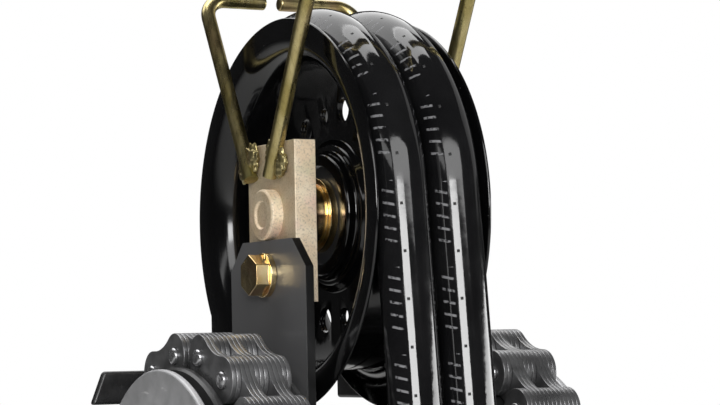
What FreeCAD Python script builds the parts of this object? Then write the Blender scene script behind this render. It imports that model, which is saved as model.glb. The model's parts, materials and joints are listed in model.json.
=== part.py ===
"""Lift-ram crosshead of a fork-lift mast: twin hose pulley, two leaf chains on sheaves, hose guides.

X runs fore and aft (+X is the front), Y runs across (left is -Y) and Z is up.
The origin is the centre of the ram socket's mouth, on the underside of the crosshead.
"""
import FreeCAD, Part

import math
import os
import re

import Sketcher
from FreeCAD import Placement, Rotation, Vector

# Driving dimensions in millimetres and degrees: word, value, what it is.
DRIVING = (
    ("pulley_height", 151.5, "hose pulley axis above the ram socket"),
    ("sheave_height", 50, "chain sheave axis above the ram socket"),
    ("pulley_shift", 2.75, "middle of the hose pulley to the left of the mid-plane"),
    ("gap", 0.05, "radial clearance between fitted round parts"),
    ("hose_radius", 8.7, "outer radius of a hose"),
    ("hose_offset", 9.6, "middle of a hose from the middle of the pulley"),
    ("wrap_radius", 61, "radius of the hose centre line round the pulley"),
    ("hose_lean", 6, "forward lean of the front hose runs, degrees"),
    ("rim_radius", 66, "pulley flange radius"),
    ("flange_plane", 20.6, "outer face of a pulley flange from the middle of the pulley"),
    ("sheet", 1.15, "pulley sheet thickness"),
    ("large_hole_circle", 36.1, "radius of the ring of larger holes in the pulley web"),
    ("small_hole_circle", 34.8, "radius of the ring of smaller holes in the pulley web"),
    ("large_hole", 4.25, "radius of the larger web holes"),
    ("small_hole", 3, "radius of the smaller web holes"),
    ("axle_radius", 8.5, "pulley axle radius"),
    ("axle_proud", 4.2, "how far the axle stands out of each strap"),
    ("strap_inner", 19.35, "inner face of a strap from the mid-plane"),
    ("strap_thick", 8, "strap thickness"),
    ("strap_width", 35, "strap width"),
    ("strap_rise", 24, "top of a strap above the pulley axis"),
    ("strap_fall", 29.5, "bottom of a strap below the pulley axis"),
    ("plate_thick", 3, "side plate thickness"),
    ("plate_width", 56, "side plate width"),
    ("plate_shift", 1.9, "middle of a side plate in front of the pulley axis"),
    ("plate_fall", 8.65, "top of a side plate below the pulley axis"),
    ("plate_foot", 4, "bottom of a side plate above the ram socket"),
    ("corner_cut", 9.5, "cut across the top corners of a side plate"),
    ("bolt_fall", 20.2, "side plate bolt below the pulley axis"),
    ("bolt_radius", 3.9, "shank radius of the M8 bolt"),
    ("bolt_flats", 12, "width across the flats of the M8 bolt head"),
    ("bolt_head", 4.9, "height of the M8 bolt head"),
    ("washer_thick", 2, "lock washer thickness"),
    ("rod_radius", 2.5, "hose guide rod radius"),
    ("guide_centre", -3, "middle of the guide pair, fore and aft"),
    ("guide_foot", 7.2, "foot of a guide rod from the middle of the pair"),
    ("guide_reach", 42.5, "top run of a guide rod from the middle of the pair"),
    ("guide_low", 12.5, "foot of a guide rod above the pulley axis"),
    ("guide_high", 78.6, "top run of a guide rod above the pulley axis"),
    ("guide_bend", 8, "bend radius of a guide rod's centre line"),
    ("block_length", 52, "crosshead block, fore and aft"),
    ("block_height", 80, "crosshead block height"),
    ("block_round", 5, "rounding of the crosshead block's upright edges"),
    ("ram_radius", 17.5, "ram socket radius"),
    ("ram_depth", 25, "ram socket depth"),
    ("shaft_radius", 15, "sheave shaft radius"),
    ("shaft_half", 73.75, "half of the sheave shaft's length"),
    ("screw_height", 12, "ram locking screw above the socket mouth"),
    ("plate_screw_x", 19, "side plate screws from the middle, fore and aft"),
    ("plate_screw_low", 14, "lower side plate screws above the socket mouth"),
    ("plate_screw_high", 72, "upper side plate screws above the socket mouth"),
    ("sheave_inner", 31.75, "inner face of a sheave from the mid-plane"),
    ("sheave_width", 32.5, "width of a sheave"),
    ("sheave_flange", 3, "thickness of a sheave flange"),
    ("sheave_radius", 51.5, "radius of a sheave flange"),
    ("tread_radius", 47.9, "radius of the surface that the chain plates run on"),
    ("guard_radius", 51, "radius of the outer guard disc"),
    ("guard_thick", 2.8, "thickness of the outer guard disc"),
    ("guard_inner", 67.15, "inner face of a guard disc from the mid-plane"),
    ("pitch", 19.05, "chain pitch"),
    ("pin_circle", 55.6, "radius of the chain pins round the sheave"),
    ("lead_angle", 12, "first front pin past the top of the sheave, degrees"),
    ("pin_radius", 2.86, "chain pin radius"),
    ("link_radius", 7.6, "end radius of a chain plate"),
    ("link_waist", 5.8, "half height of a chain plate at its waist"),
    ("link_thick", 1.55, "chain plate thickness"),
    ("link_step", 1.6, "chain plate spacing"),
    ("chain_inner", 39.5, "first chain plate from the mid-plane"),
    ("keeper_back", 57, "front face of a chain keeper behind the pulley axis"),
    ("keeper_fall", 51.2, "top of a chain keeper below the pulley axis"),
    ("keeper_tall", 11.5, "height of a chain keeper"),
    ("keeper_end", 65, "outer end of a chain keeper at its top edge"),
    ("keeper_slant", 4.5, "how far that end slants out at its bottom edge"),
)
SIZES = {word: value for word, value, note in DRIVING}

LARGE_HOLE_TURN = 12.5   # first large web hole, degrees past the top towards the front
WEB_HOLES = 8            # of each size
PLATE_SCREWS = [
    (across, up)
    for across in ("-plate_screw_x", "plate_screw_x")
    for up in ("plate_screw_low", "plate_screw_high")
]
LEFT, RIGHT = -1, 1
SIDES = (("left", LEFT), ("right", RIGHT))
GUIDE_TIPS = {"left": -6.2, "right": -0.6}     # free ends of the guide rods across the mid-plane

# Leaf chain: groups of plates side by side, as (first plate, how many), for every second link.
CHAIN_ROWS = 13
PLATE_GROUPS = {"outer": ((0, 2), (5, 3), (11, 2)), "inner": ((2, 3), (8, 3))}
WELD_RADIUS = 2.4
WELD_LENGTH = 11.0
WELD_REACH = 3.0         # middle of a weld bead from its rod's centre line
PIN_PROUD = 1.3          # how far a pin's head stands out of the outermost plate

# Hose route round the pulley: corners of the straight lines that touch the wrap circle, as
# (X, Z) from the pulley axis, from the rear to the front. Each turns the hose by 29 degrees.
HOSE_CORNERS = (
    (-61.0, 15.78),
    (-45.7, 43.37),
    (-18.95, 60.09),
    (12.56, 61.74),
    (40.92, 47.91),
    (59.02, 22.07),
)
HOSE_ENDS = {"left": 88.0, "right": 140.0}      # end of each hose below the pulley axis
FERRULE_LENGTH = 30.0
FERRULE_RADIUS = 10.0
NUT_LENGTH = 18.0
NUT_FLATS = 19.0
NUT_BORE = 7.25
NUT_THREAD = 11.0
NUT_NECK = 6.5

ANCHOR_HALF = 9.0        # half of a chain anchor's block, fore and aft
ANCHOR_NECK = 10.5       # bottom of the anchor's slots below its pin
ANCHOR_BLOCK = 26.0      # bottom of the anchor's block below its pin
STUD_RADIUS = 8.0
STUD_LENGTH = 45.0
ANCHOR_NUT_FLATS = 24.0
ANCHOR_NUT_TALL = 11.0

# Bearings: bore radius, outside radius, width, ball radius and number of balls.
PULLEY_BEARING = (8.5, 20.0, 12.0, 3.4, 8)
SHEAVE_BEARING = (15.0, 31.0, 16.0, 4.76, 9)

doc = FreeCAD.newDocument("lift_crosshead")
sheet = doc.addObject("Spreadsheet::Sheet", "Sheet")
for row, (word, value, note) in enumerate(DRIVING, start=1):
    sheet.set(f"A{row}", note)
    sheet.set(f"B{row}", str(value))
    sheet.setAlias(f"B{row}", word)
doc.recompute()

NODES = []


# ---------------------------------------------------------------- helpers

def keep(item, label):
    """Name a finished sub-part and put it on the list that is written out."""
    item.Label = label
    NODES.append(item)
    return item


def link(text):
    """Point the words of an expression at the sheet's cells."""
    return re.sub(r"[a-z_]\w*", lambda word: "Sheet." + word[0] if word[0] in SIZES else word[0], text)


def size(text):
    """The value of an expression in the sheet's words."""
    return float(sheet.evalExpression(link(text)))


def place(item, x="0", y="0", z="0"):
    """Tie an object's position to the sheet."""
    for letter, text in (("x", x), ("y", y), ("z", z)):
        item.setExpression("Placement.Base." + letter, link(text))


def turn_to(item, along):
    """Lay an upright primitive along an axis."""
    turns = {
        "X": Rotation(Vector(0, 1, 0), 90),
        "Y": Rotation(Vector(1, 0, 0), -90),
        "Z": Rotation(),
    }
    item.Placement = Placement(Vector(), turns[along])


def cylinder(name, radius, length, along="Y", x="0", y="0", z="0"):
    """A round bar from (x, y, z) along +X, +Y or +Z."""
    bar = doc.addObject("Part::Cylinder", name)
    turn_to(bar, along)
    bar.setExpression("Radius", link(radius))
    bar.setExpression("Height", link(length))
    place(bar, x, y, z)
    return bar


def cone(name, small, large, length, side, x, y, z):
    """A cone that widens outwards from (x, y, z), away from the mid-plane."""
    taper = doc.addObject("Part::Cone", name)
    taper.Placement = Placement(Vector(), Rotation(Vector(1, 0, 0), -90 * side))
    for word, text in (("Radius1", small), ("Radius2", large), ("Height", length)):
        taper.setExpression(word, link(text))
    place(taper, x, y, z)
    return taper


def box(name, length, width, height, x="0", y="0", z="0"):
    """A block from its lowest corner."""
    block = doc.addObject("Part::Box", name)
    for side, text in (("Length", length), ("Width", width), ("Height", height)):
        block.setExpression(side, link(text))
    place(block, x, y, z)
    return block


def joined(name, *parts):
    """One solid from several."""
    fuse = doc.addObject("Part::MultiFuse", name)
    fuse.Shapes = list(parts)
    fuse.Refine = True
    return fuse


def drilled(name, base, *cutters):
    """A base with cutters taken out of it."""
    cut = doc.addObject("Part::Cut", name)
    cut.Base = base
    cut.Tool = cutters[0] if len(cutters) == 1 else joined(name + "_cutters", *cutters)
    return cut


def group(name, parts):
    """Separate solids in one sub-part."""
    bundle = doc.addObject("Part::Compound", name)
    bundle.Links = list(parts)
    return bundle


def fixed(name, shape, position=Vector()):
    """A sub-part whose shape is made directly."""
    item = doc.addObject("Part::Feature", name)
    item.Shape = shape
    item.Placement = Placement(position, Rotation())
    return item


def new_sketch(body, role, name):
    """A sketch on one of a body's own origin planes."""
    sketch = body.newObject("Sketcher::SketchObject", name)
    plane = next(item for item in body.Origin.OriginFeatures if item.Role == role)
    sketch.AttachmentSupport = [(plane, "")]
    sketch.MapMode = "FlatFace"
    return sketch


def tie(sketch, kind, first, text):
    """Add a sketch dimension that follows the sheet."""
    index = sketch.addConstraint(Sketcher.Constraint(kind, *first, size(text)))
    sketch.setExpression(f"Constraints[{index}]", link(text))


def outline(sketch, corners):
    """A closed outline through corners, each an expression pair."""
    points = [Vector(size(across), size(up), 0) for across, up in corners]
    count = len(points)
    start = sketch.GeometryCount
    for index, point in enumerate(points):
        sketch.addGeometry(Part.LineSegment(point, points[(index + 1) % count]), False)
    for index in range(count):
        following = start + (index + 1) % count
        sketch.addConstraint(Sketcher.Constraint("Coincident", start + index, 2, following, 1))
    for index, (across, up) in enumerate(corners):
        tie(sketch, "DistanceX", (-1, 1, start + index, 1), across)
        tie(sketch, "DistanceY", (-1, 1, start + index, 1), up)


def circle(sketch, across, up, radius):
    """A circle whose centre and radius follow the sheet."""
    centre = Vector(size(across), size(up), 0)
    index = sketch.addGeometry(Part.Circle(centre, Vector(0, 0, 1), size(radius)), False)
    tie(sketch, "DistanceX", (-1, 1, index, 3), across)
    tie(sketch, "DistanceY", (-1, 1, index, 3), up)
    tie(sketch, "Radius", (index,), radius)


def plate(name, corners, holes, thick, inner, side):
    """A flat plate in the X-Z plane, its inner face at the given distance from the mid-plane."""
    body = doc.addObject("PartDesign::Body", name)
    sketch = new_sketch(body, "XZ_Plane", name + "_outline")
    outline(sketch, corners)
    for hole in holes:
        circle(sketch, *hole)
    pad = body.newObject("PartDesign::Pad", name + "_pad")
    pad.Profile = sketch
    pad.Reversed = side == RIGHT
    pad.setExpression("Length", link(thick))
    sketch.Visibility = False
    place(body, y=f"{side} * ({inner})")
    return body


def turned(name, profile, height, side=RIGHT):
    """A part turned about a cross axis; the profile is (radius, distance from the mid-plane)."""
    body = doc.addObject("PartDesign::Body", name)
    sketch = new_sketch(body, "XY_Plane", name + "_profile")
    outline(sketch, [(radius, f"{side} * ({across})") for radius, across in profile])
    turn = body.newObject("PartDesign::Revolution", name + "_turn")
    turn.Profile = sketch
    turn.ReferenceAxis = (sketch, ["V_Axis"])
    turn.Angle = 360
    place(body, z=height)
    return body


def ring(name, bore, outside, inner, outer, height, side=RIGHT):
    """A plain ring about a cross axis, from one distance from the mid-plane to another."""
    profile = ((bore, inner), (outside, inner), (outside, outer), (bore, outer))
    return turned(name, profile, height, side)


def rounded_edges(points, radii):
    """Straight runs through points, with a tangent arc at each inner point."""
    edges = []
    start = points[0]
    for before, corner, after, radius in zip(points, points[1:], points[2:], radii):
        inward = (corner - before).normalize()
        outward = (after - corner).normalize()
        half_turn = inward.getAngle(outward) / 2
        reach = radius * math.tan(half_turn)
        first = corner - inward * reach
        last = corner + outward * reach
        bisector = (outward - inward).normalize()
        middle = corner + bisector * (radius / math.cos(half_turn) - radius)
        if first.distanceToPoint(start) > 1e-6:
            edges.append(Part.LineSegment(start, first).toShape())
        edges.append(Part.Arc(first, middle, last).toShape())
        start = last
    if start.distanceToPoint(points[-1]) > 1e-6:
        edges.append(Part.LineSegment(start, points[-1]).toShape())
    return edges


def round_bar(points, radii, radius, name):
    """A round bar along a path, with its volume compared with section times length."""
    path = Part.Wire(rounded_edges(points, radii))
    section = Part.Wire(Part.Circle(points[0], points[1] - points[0], radius).toShape())
    bar = path.makePipeShell([section], True, False)
    expected = math.pi * radius ** 2 * path.Length
    print(f"{name}: length {path.Length:.1f}, arcs {[round(value, 1) for value in sorted(set(radii))]},"
          f" volume {bar.Volume / expected:.5f} of section times length")
    if abs(bar.Volume / expected - 1) > 0.002:
        raise RuntimeError(name + " does not fill its path")
    return bar


# ---------------------------------------------------------------- crosshead and shaft

def make_crosshead():
    """The forged block that seats on the ram and holds the sheave shaft."""
    body = doc.addObject("PartDesign::Body", "crosshead_block")
    sketch = new_sketch(body, "XY_Plane", "crosshead_outline")
    half = "block_length / 2"
    wall = "strap_inner + strap_thick"
    back, left_wall = f"-({half})", f"-({wall})"
    outline(sketch, ((back, left_wall), (half, left_wall), (half, wall), (back, wall)))
    pad = body.newObject("PartDesign::Pad", "crosshead_pad")
    pad.Profile = sketch
    pad.setExpression("Length", link("block_height"))
    doc.recompute()
    upright = [
        f"Edge{index}" for index, edge in enumerate(pad.Shape.Edges, start=1)
        if abs(edge.tangentAt(edge.FirstParameter).z) > 0.9
    ]
    fillet = body.newObject("PartDesign::Fillet", "crosshead_fillet")
    fillet.Base = (pad, upright)
    fillet.setExpression("Radius", link("block_round"))
    body.Tip = fillet
    shaft_hole = cylinder(
        "shaft_bore", "shaft_radius + gap", "2 * (strap_inner + strap_thick)",
        y="-(strap_inner + strap_thick)", z="sheave_height",
    )
    socket = cylinder("ram_socket", "ram_radius", "ram_depth", along="Z")
    screw_hole = cylinder("screw_bore", "5", "block_length / 2", along="X", z="screw_height")
    tapped = [
        cylinder(f"tapped_{word}_{index}", "3.05", "12", x=across, z=up,
                 y="strap_inner + strap_thick - 12" if side == RIGHT else "-(strap_inner + strap_thick)")
        for word, side in SIDES for index, (across, up) in enumerate(PLATE_SCREWS)
    ]
    keep(drilled("crosshead_cut", body, shaft_hole, socket, screw_hole, *tapped), "crosshead")

    grub = cylinder("grub_body", "4.9", "8.2", along="X", x="ram_radius + 0.2", z="screw_height")
    hex_key = doc.addObject("Part::Prism", "grub_key")
    hex_key.Polygon = 6
    hex_key.Circumradius = 2.9
    hex_key.Height = 5
    turn_to(hex_key, "X")
    place(hex_key, x="ram_radius + 4.4", z="screw_height")
    keep(drilled("grub_cut", grub, hex_key), "ram_locking_screw")


def make_shaft():
    """The sheave shaft, with a circlip groove near each end, and what it carries outside the sheaves."""
    groove = "guard_inner + guard_thick + 0.1"
    rim = "shaft_radius"
    steps = (
        ("0", "0"), (rim, "0"), (rim, groove), ("shaft_radius - 0.8", groove),
        ("shaft_radius - 0.8", f"{groove} + 1.5"), (rim, f"{groove} + 1.5"), (rim, "shaft_half - 1.5"),
        ("shaft_radius - 1.5", "shaft_half"), ("0", "shaft_half"),
    )
    halves = [turned(f"shaft_half_{word}", steps, "sheave_height", side) for word, side in SIDES]
    keep(joined("shaft", *halves), "sheave_shaft")

    clips, inner_washers, outer_washers = [], [], []
    for word, side in SIDES:
        whole = ring(
            f"clip_ring_{word}", "shaft_radius - 0.75", "shaft_radius + 3", f"{groove} + 0.05",
            f"{groove} + 1.45", "sheave_height", side,
        )
        mouth = box(
            f"clip_mouth_{word}", "9", "4", "22", x="-4.5",
            y=f"{side} * (guard_inner + guard_thick + 1) - 2", z="sheave_height",
        )
        clips.append(drilled(f"clip_{word}", whole, mouth))
        inner_washers.append(ring(
            f"inner_washer_{word}", "shaft_radius + gap", "19",
            "strap_inner + strap_thick + plate_thick + 0.02", "sheave_inner + 0.18", "sheave_height", side,
        ))
        outer_washers.append(ring(
            f"outer_washer_{word}", "shaft_radius + gap", "20", "sheave_inner + sheave_width - 0.18",
            "guard_inner", "sheave_height", side,
        ))
        guard = turned(
            f"guard_{word}",
            (
                ("shaft_radius + gap", "guard_inner"), ("guard_radius - 0.6", "guard_inner"),
                ("guard_radius", "guard_inner + 0.6"), ("guard_radius", "guard_inner + guard_thick - 0.6"),
                ("guard_radius - 0.6", "guard_inner + guard_thick"),
                ("shaft_radius + gap", "guard_inner + guard_thick"),
            ),
            "sheave_height", side,
        )
        keep(guard, f"{word}_sheave_guard")
    keep(group("clips", clips), "shaft_circlips")
    keep(group("inner_washers", inner_washers), "sheave_thrust_washers")
    keep(group("outer_washers", outer_washers), "sheave_spacer_rings")


# ---------------------------------------------------------------- side plates, straps and fasteners

def make_side_plates():
    """Black plates that stand up from the crosshead and carry the straps."""
    front = "plate_shift + plate_width / 2"
    rear = "plate_shift - plate_width / 2"
    top = "pulley_height - plate_fall"
    corners = (
        (rear, "plate_foot"), (front, "plate_foot"), (front, f"{top} - corner_cut"),
        (f"{front} - corner_cut", top), (f"{rear} + corner_cut", top), (rear, f"{top} - corner_cut"),
    )
    face = "strap_inner + strap_thick"
    screws = []
    for word, side in SIDES:
        holes = [
            ("0", "sheave_height", "shaft_radius + 0.1"),
            ("plate_shift", "pulley_height - bolt_fall", "4.5"),
        ]
        blank = plate(f"side_plate_{word}", corners, holes, "plate_thick", face, side)
        sinks = []
        for index, (across, up) in enumerate(PLATE_SCREWS):
            spot = (across, f"{side} * ({face})", up)
            sinks.append(cone(f"sink_{word}_{index}", "3.05", "6.05", "plate_thick", side, *spot))
            head = cone(f"screw_head_{word}_{index}", "3", "6", "plate_thick", side, *spot)
            shank = cylinder(
                f"screw_shank_{word}_{index}", "3", "10", x=across, z=up,
                y=f"{face} - 10" if side == RIGHT else f"-({face})",
            )
            key = doc.addObject("Part::Prism", f"screw_key_{word}_{index}")
            key.Polygon = 6
            key.Circumradius = 2.3
            key.Height = 4
            turn_to(key, "Y")
            key_low = f"{face} + plate_thick - 2" if side == RIGHT else f"-({face} + plate_thick + 2)"
            place(key, across, key_low, up)
            solid = joined(f"screw_{word}_{index}", head, shank)
            screws.append(drilled(f"screw_cut_{word}_{index}", solid, key))
        keep(drilled(f"side_plate_cut_{word}", blank, *sinks), f"{word}_side_plate")
    keep(group("plate_screws", screws), "side_plate_screws")


def make_straps():
    """Flat bars that carry the pulley axle, bolted to the side plates."""
    half = "strap_width / 2"
    low = "pulley_height - strap_fall"
    high = "pulley_height + strap_rise"
    corners = ((f"-({half})", low), (half, low), (half, high), (f"-({half})", high))
    holes = (
        ("0", "pulley_height", "axle_radius + gap"),
        ("plate_shift", "pulley_height - bolt_fall", "bolt_radius + 0.1"),
    )
    for word, side in SIDES:
        strap = plate(f"strap_{word}", corners, holes, "strap_thick", "strap_inner", side)
        keep(strap, f"{word}_axle_strap")


def make_fasteners():
    """M8 hexagon bolts with split lock washers, one through each side plate into its strap."""
    face = "strap_inner + strap_thick + plate_thick"
    height = "pulley_height - bolt_fall"
    bolts, washers = [], []
    for word, side in SIDES:
        head = doc.addObject("Part::Prism", f"bolt_head_{word}")
        head.Polygon = 6
        head.setExpression("Circumradius", link("bolt_flats / sqrt(3)"))
        head.setExpression("Height", link("bolt_head"))
        head.Placement = Placement(Vector(), Rotation(Vector(1, 0, 0), -90) * Rotation(Vector(0, 0, 1), 30))
        outer = f"{face} + washer_thick + bolt_head"
        head_low = f"{face} + washer_thick" if side == RIGHT else f"-({outer})"
        place(head, "plate_shift", head_low, height)
        round_face = ring(
            f"bolt_chamfer_{word}", "0", "bolt_flats / 2 + 0.75",
            f"{face} + washer_thick", outer, height, side,
        )
        place(round_face, x="plate_shift", z=height)
        crown = doc.addObject("Part::Common", f"bolt_crown_{word}")
        crown.Base = head
        crown.Tool = round_face
        shank = cylinder(
            f"bolt_shank_{word}", "bolt_radius", "washer_thick + plate_thick + strap_thick - 0.5",
            x="plate_shift", z=height,
            y="strap_inner + 0.5" if side == RIGHT else f"-({face} + washer_thick)",
        )
        bolts.append(joined(f"bolt_{word}", crown, shank))
        whole = ring(
            f"lock_ring_{word}", "bolt_radius + 0.2", "7.4", face, f"{face} + washer_thick", height, side,
        )
        place(whole, x="plate_shift", z=height)
        split_low = f"{side} * ({face}) - 4"
        split = box(f"lock_split_{word}", "1.2", "8", "9", x="plate_shift + 2", y=split_low, z=height)
        washers.append(drilled(f"lock_washer_{word}", whole, split))
    keep(group("bolts", bolts), "side_plate_bolts")
    keep(group("lock_washers", washers), "bolt_lock_washers")


# ---------------------------------------------------------------- hose guides

def guide_points(front, side):
    """Foot, bend and tip of one guide rod."""
    across = side * size("strap_inner + strap_thick + rod_radius")
    foot = size("guide_centre") + front * size("guide_foot")
    reach = size("guide_centre") + front * size("guide_reach")
    low = size("pulley_height + guide_low")
    high = size("pulley_height + guide_high")
    tip = GUIDE_TIPS["right" if side == RIGHT else "left"]
    return [Vector(foot, across, low), Vector(reach, across, high), Vector(reach, tip, high)]


def weld_bead(points, side):
    """Fillet beads on both sides of a guide rod's foot."""
    along = (points[1] - points[0]).normalize()
    beside = Vector(0, 1, 0).cross(along).normalize()
    wall = side * size("strap_inner + strap_thick")
    start = Vector(points[0].x, wall + side * 0.9, points[0].z) + along * 1.0
    rod = Part.makeCylinder(size("rod_radius"), 40, points[0] - along * 5, along)
    beads = []
    for hand in (-1, 1):
        bar = Part.makeCylinder(WELD_RADIUS, WELD_LENGTH, start + beside * hand * WELD_REACH, along)
        bar = bar.makeFillet(1.5, [edge for edge in bar.Edges if edge.Closed])
        deep = 4 * size("strap_thick")
        strap_low = wall - deep if side == RIGHT else wall
        strap = Part.makeBox(100, deep, 100, Vector(-50, strap_low, points[0].z - 50))
        beads.append(bar.cut(rod).cut(strap))
    return [solid for bead in beads for solid in bead.Solids]


def make_guides():
    """Four bent rods that keep the hoses on the pulley, welded to the straps."""
    beads = []
    for word, side in SIDES:
        for place_word, front in (("rear", -1), ("front", 1)):
            points = guide_points(front, side)
            name = f"{word}_{place_word}_hose_guide"
            bar = round_bar(points, [size("guide_bend")], size("rod_radius"), name)
            free_end = points[-1].y
            tip = [edge for edge in bar.Edges if edge.Closed and abs(edge.CenterOfMass.y - free_end) < 0.5]
            keep(fixed(name + "_shape", bar.makeFillet(0.8, tip)), name)
            beads += weld_bead(points, side)
    keep(fixed("guide_weld_shapes", Part.makeCompound(beads)), "hose_guide_welds")


# ---------------------------------------------------------------- hose pulley

def make_axle():
    """The pulley's axle, held in the straps, with shouldered spacers beside the bearing."""
    half = "strap_inner + strap_thick + axle_proud"
    profile = (
        ("0", f"-({half} - 1)"), ("4.2", f"-({half} - 1)"), ("5", f"-({half})"),
        ("axle_radius - 0.7", f"-({half})"), ("axle_radius", f"0.7 - ({half})"),
        ("axle_radius", f"{half} - 0.7"), ("axle_radius - 0.7", half),
        ("5", half), ("4.2", f"{half} - 1"), ("0", f"{half} - 1"),
    )
    keep(turned("axle", profile, "pulley_height"), "pulley_axle")
    half_bearing = PULLEY_BEARING[2] / 2
    spacers = []
    for word, side in SIDES:
        face = f"{half_bearing + 0.02} - {side} * pulley_shift"
        neck = f"{face} + 2.8"
        profile = (
            ("axle_radius + gap", face), ("12.6", face), ("12.6", neck), ("10.6", neck),
            ("10.6", "strap_inner"), ("axle_radius + gap", "strap_inner"),
        )
        spacers.append(turned(f"spacer_{word}", profile, "pulley_height", side))
    keep(group("spacers", spacers), "axle_spacers")


def make_pulley_shells():
    """Two pressed halves, back to back: bearing seat, stepped boss, web, hose groove and flange."""
    outside, half_bearing = PULLEY_BEARING[1], PULLEY_BEARING[2] / 2
    seat = outside + size("gap")
    lip = half_bearing + size("gap")
    groove = size("wrap_radius - hose_radius - 0.1")
    wall = size("flange_plane - sheet")
    inner_face = [
        (16.8, lip), (seat, lip), (seat, 2.3), (23.3, 2.3), (25.2, 0.0),
        (groove, 0.0), (groove, wall), (size("rim_radius"), wall + 0.5),
    ]
    bends = [0.3, 2.4, 0.5, 2.6, 0.6, size("hose_radius + 0.1")]
    thick = size("sheet")
    centre = Vector(0, -size("pulley_shift"), size("pulley_height"))
    turn_axis = Vector(0, 1, 0)
    for word, side in SIDES:
        points = [Vector(radius, side * across, 0) for radius, across in inner_face]
        path = Part.Wire(rounded_edges(points, bends))
        halves = [path.makeOffset2D(way * thick, 0, True, True, False) for way in (-1, 1)]
        face = max(halves, key=lambda option: abs(option.CenterOfMass.y))
        shell = face.revolve(Vector(), turn_axis, 360)
        rim = [edge for edge in shell.Edges if edge.Closed and edge.BoundBox.XMax > size("rim_radius") - 0.3]
        shell = Part.Solid(shell).makeFillet(0.45, rim)
        for index in range(2 * WEB_HOLES):
            angle = math.radians(LARGE_HOLE_TURN + index * 180 / WEB_HOLES)
            kind = "small_hole" if index % 2 else "large_hole"
            radius = size(kind)
            circle_radius = size(kind + "_circle")
            across = Vector(circle_radius * math.sin(angle), -6, circle_radius * math.cos(angle))
            shell = shell.cut(Part.makeCylinder(radius, 12, across, turn_axis))
        keep(fixed(f"pulley_shell_{word}", shell, centre), f"pulley_{word}_shell")


def make_bearing(prefix, kind, middles, height, across="0"):
    """Deep-groove bearings on one axis: outer rings, inner rings, balls, cages and rubber seals."""
    bore, outside, width, ball, count = kind
    pitch_radius = (bore + outside) / 2
    shoulder = ball * 0.62
    track = ball + 0.03
    axis_point = Vector(0, size(across), size(height))
    turn_axis = Vector(0, 1, 0)
    rings = {"outer_ring": [], "inner_ring": [], "balls": [], "cage": [], "seals": []}
    for middle in middles:
        low = Vector(0, middle - width / 2, 0)
        groove = Part.makeTorus(pitch_radius, track, Vector(0, middle, 0), turn_axis)

        def tube(small, large, start, length):
            blank = Part.makeCylinder(large, length, start, turn_axis)
            return blank.cut(Part.makeCylinder(small, length, start, turn_axis))

        outer_ring = tube(pitch_radius + shoulder, outside, low, width)
        rims = [edge for edge in outer_ring.Edges if edge.Closed and edge.BoundBox.XMax > outside - 0.1]
        rings["outer_ring"].append(outer_ring.makeFillet(0.6, rims).cut(groove))
        inner_ring = tube(bore + size("gap"), pitch_radius - shoulder, low, width)
        rims = [edge for edge in inner_ring.Edges if edge.Closed and edge.BoundBox.XMax < bore + 0.2]
        rings["inner_ring"].append(inner_ring.makeFillet(0.6, rims).cut(groove))
        half_cage = ball + 0.9
        cage = tube(pitch_radius - 0.8, pitch_radius + 0.8, Vector(0, middle - half_cage, 0), 2 * half_cage)
        for index in range(count):
            angle = 2 * math.pi * (index + 0.5) / count
            spot = Vector(pitch_radius * math.sin(angle), middle, pitch_radius * math.cos(angle))
            rings["balls"].append(Part.makeSphere(ball, spot))
            cage = cage.cut(Part.makeSphere(ball + 0.08, spot))
        rings["cage"] += cage.Solids
        for start in (middle - width / 2 + 0.2, middle + width / 2 - 1.1):
            seal = tube(pitch_radius - shoulder + 0.15, pitch_radius + shoulder, Vector(0, start, 0), 0.9)
            rings["seals"].append(seal)
    for word, solids in rings.items():
        shape = solids[0] if len(solids) == 1 else Part.makeCompound(solids)
        keep(fixed(f"{prefix}_{word}_shape", shape, axis_point), f"{prefix}_{word}")


# ---------------------------------------------------------------- chain sheaves and chains

def make_sheaves():
    """Chain sheaves with a smooth tread between two flanges and a recess in each side."""
    outer = "sheave_inner + sheave_width"
    bore = f"{SHEAVE_BEARING[1]} + gap"
    profile = (
        (bore, "sheave_inner"), ("37", "sheave_inner"), ("38", "sheave_inner + 4"),
        ("43", "sheave_inner + 4"), ("44", "sheave_inner"), ("sheave_radius - 0.8", "sheave_inner"),
        ("sheave_radius", "sheave_inner + 0.8"), ("sheave_radius", "sheave_inner + sheave_flange - 0.6"),
        ("sheave_radius - 0.8", "sheave_inner + sheave_flange"),
        ("tread_radius", "sheave_inner + sheave_flange"), ("tread_radius", f"{outer} - sheave_flange"),
        ("sheave_radius - 0.8", f"{outer} - sheave_flange"),
        ("sheave_radius", f"{outer} - sheave_flange + 0.6"),
        ("sheave_radius", f"{outer} - 0.8"), ("sheave_radius - 0.8", outer), ("44", outer),
        ("43", f"{outer} - 4"), ("38", f"{outer} - 4"), ("37", outer), (bore, outer),
    )
    for word, side in SIDES:
        keep(turned(f"sheave_{word}", profile, "sheave_height", side), f"{word}_chain_sheave")


def chain_pin_spots():
    """Pin centres from the rear end, over the sheave, to the front end, about the sheave's axis."""
    radius, pitch = size("pin_circle"), size("pitch")
    step = 2 * math.asin(pitch / 2 / radius)
    lead = math.radians(size("lead_angle"))
    first = -math.floor((math.pi / 2 + lead) / step)
    last = math.floor((math.pi / 2 - lead) / step)
    angles = [lead + step * index for index in range(first, last + 1)]
    spots = [Vector(radius * math.sin(angle), 0, radius * math.cos(angle)) for angle in angles]
    for hand, runs in ((-1, 2), (1, 3)):
        for _ in range(runs):
            near = spots[0] if hand < 0 else spots[-1]
            sideways = hand * radius - near.x
            spot = Vector(hand * radius, 0, near.z - math.sqrt(pitch ** 2 - sideways ** 2))
            spots = [spot] + spots if hand < 0 else spots + [spot]
    return spots


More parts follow.
